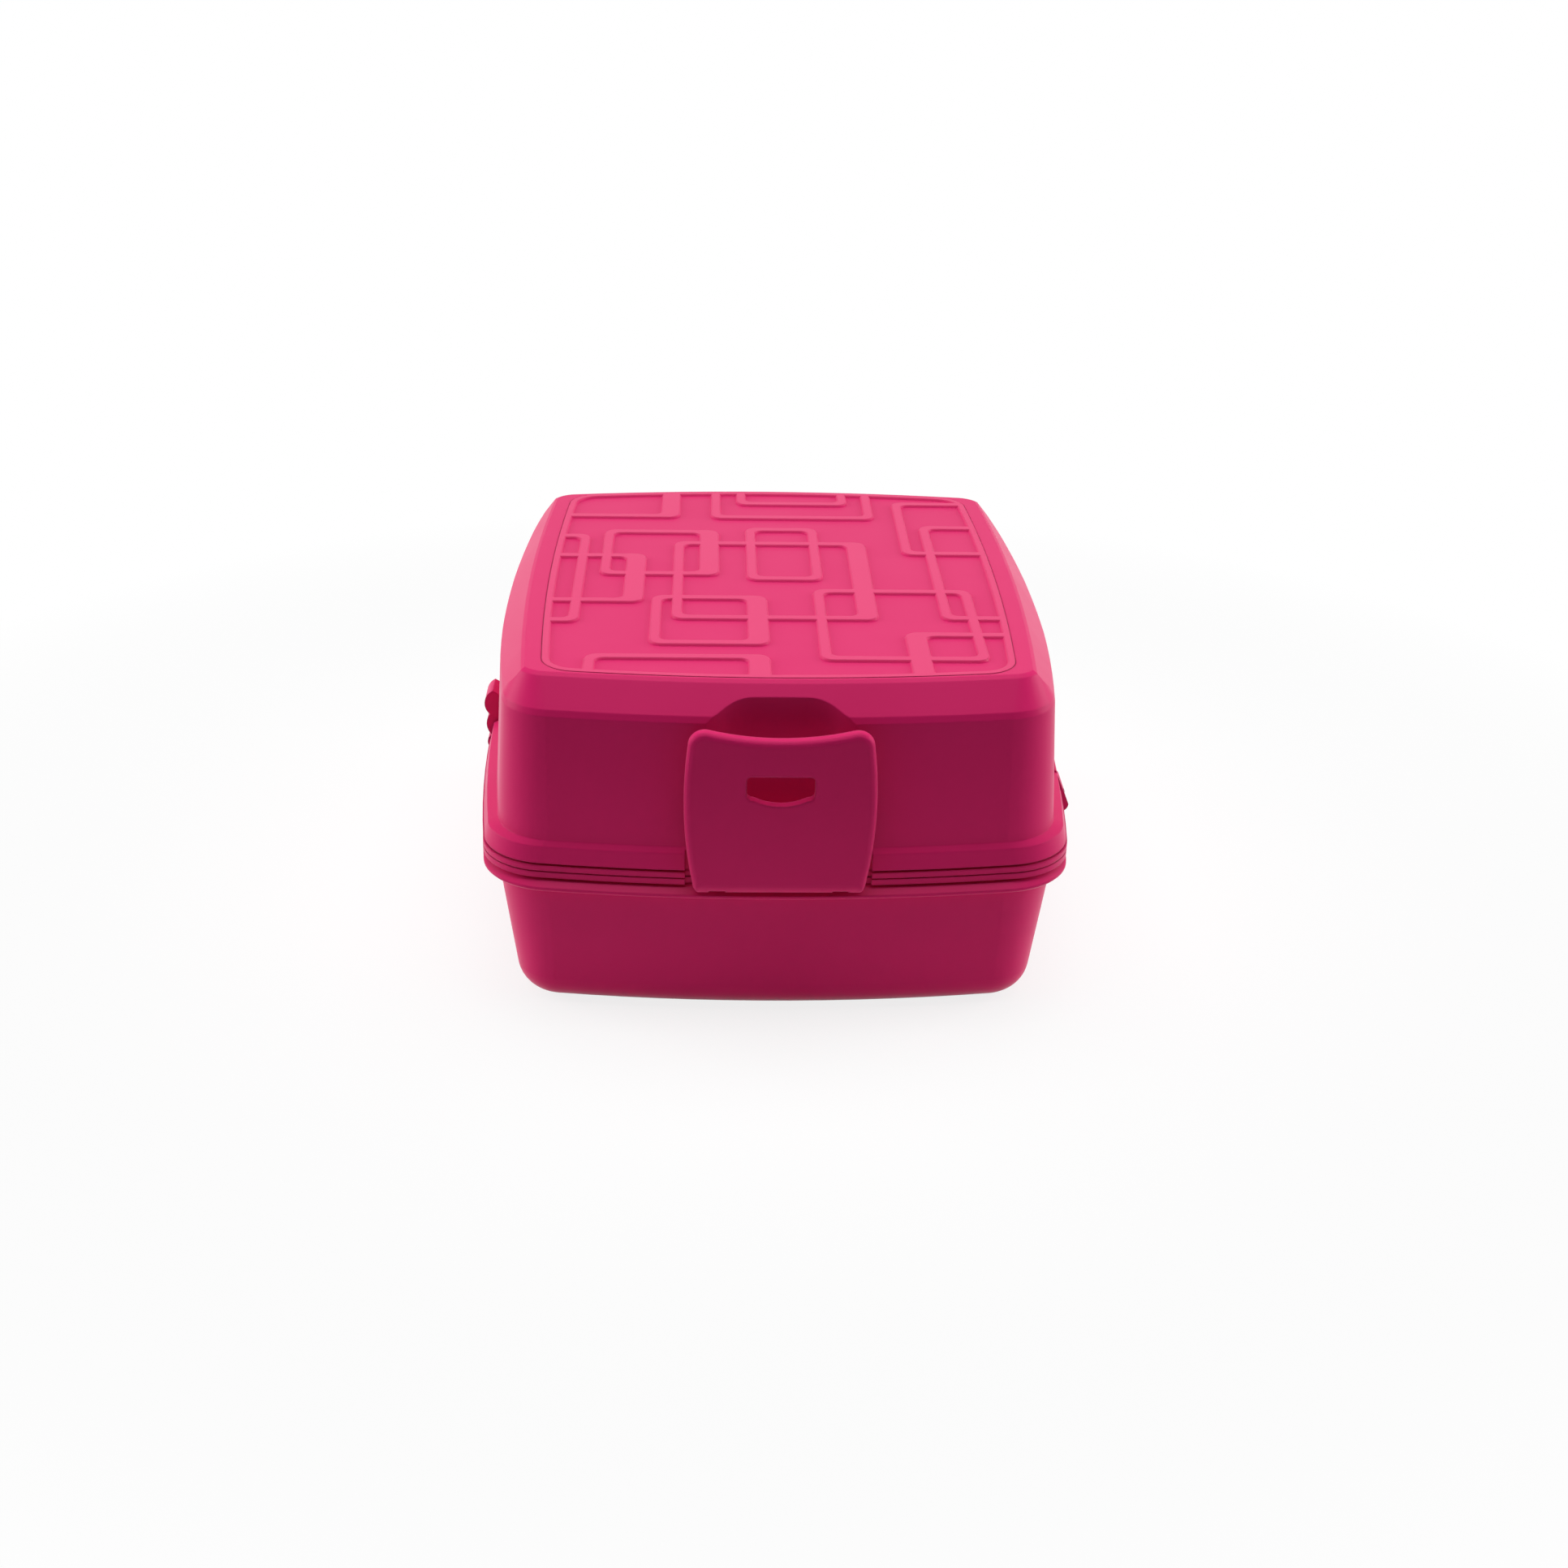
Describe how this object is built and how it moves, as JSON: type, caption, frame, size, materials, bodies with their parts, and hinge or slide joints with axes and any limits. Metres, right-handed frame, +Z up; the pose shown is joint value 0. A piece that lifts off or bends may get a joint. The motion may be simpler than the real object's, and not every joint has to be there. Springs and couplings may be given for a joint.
{
  "type": "bobbin box",
  "caption": "Latching moulded box with a hinged bevelled lid, an embossed top panel, swing-down end latches and a lift-out tray with lanes for bobbins.",
  "frame": {"origin": "middle of the box's overall plan, at the underside", "axes": "+Z up, +Y along the long way towards the rear latch, +X towards the hinge"},
  "size_m": [0.141, 0.1634, 0.0801],
  "materials": {
    "moulded_plastic": "satin",
    "tray_plastic": "satin",
    "pin_steel": "drawn"
  },
  "bodies": {
    "base": {"base": "moulded_plastic", "front_latch_pin": "pin_steel", "rear_latch_pin": "pin_steel", "side_latch_pin": "pin_steel", "hinge_pin_front": "pin_steel", "hinge_pin_rear": "pin_steel"},
    "lid": {"lid": "moulded_plastic", "lid_panel": "moulded_plastic"},
    "tray": {"tray": "tray_plastic"},
    "front_latch": {"front_latch": "moulded_plastic"},
    "rear_latch": {"rear_latch": "moulded_plastic"},
    "side_latch": {"side_latch": "moulded_plastic"}
  },
  "joints": [
    {"name": "lid_hinge", "type": "hinge", "parent": "base", "child": "lid", "pos_m": [0.0685, 0, 0.0346], "axis": [0, 1, 0], "range_deg": [0, 110]},
    {"name": "front_latch_swing", "type": "hinge", "parent": "base", "child": "front_latch", "pos_m": [0, -0.0787, 0.038], "axis": [1, 0, 0], "range_deg": [0, 80]},
    {"name": "rear_latch_swing", "type": "hinge", "parent": "base", "child": "rear_latch", "pos_m": [0, 0.0787, 0.038], "axis": [-1, 0, 0], "range_deg": [0, 80]},
    {"name": "side_latch_swing", "type": "hinge", "parent": "base", "child": "side_latch", "pos_m": [-0.0679, 0, 0.0372], "axis": [0, -1, 0], "range_deg": [0, 80]},
    {"name": "tray_lift", "type": "slide", "parent": "base", "child": "tray", "axis": [0, 0, 1], "range_m": [0, 0.03]}
  ]
}
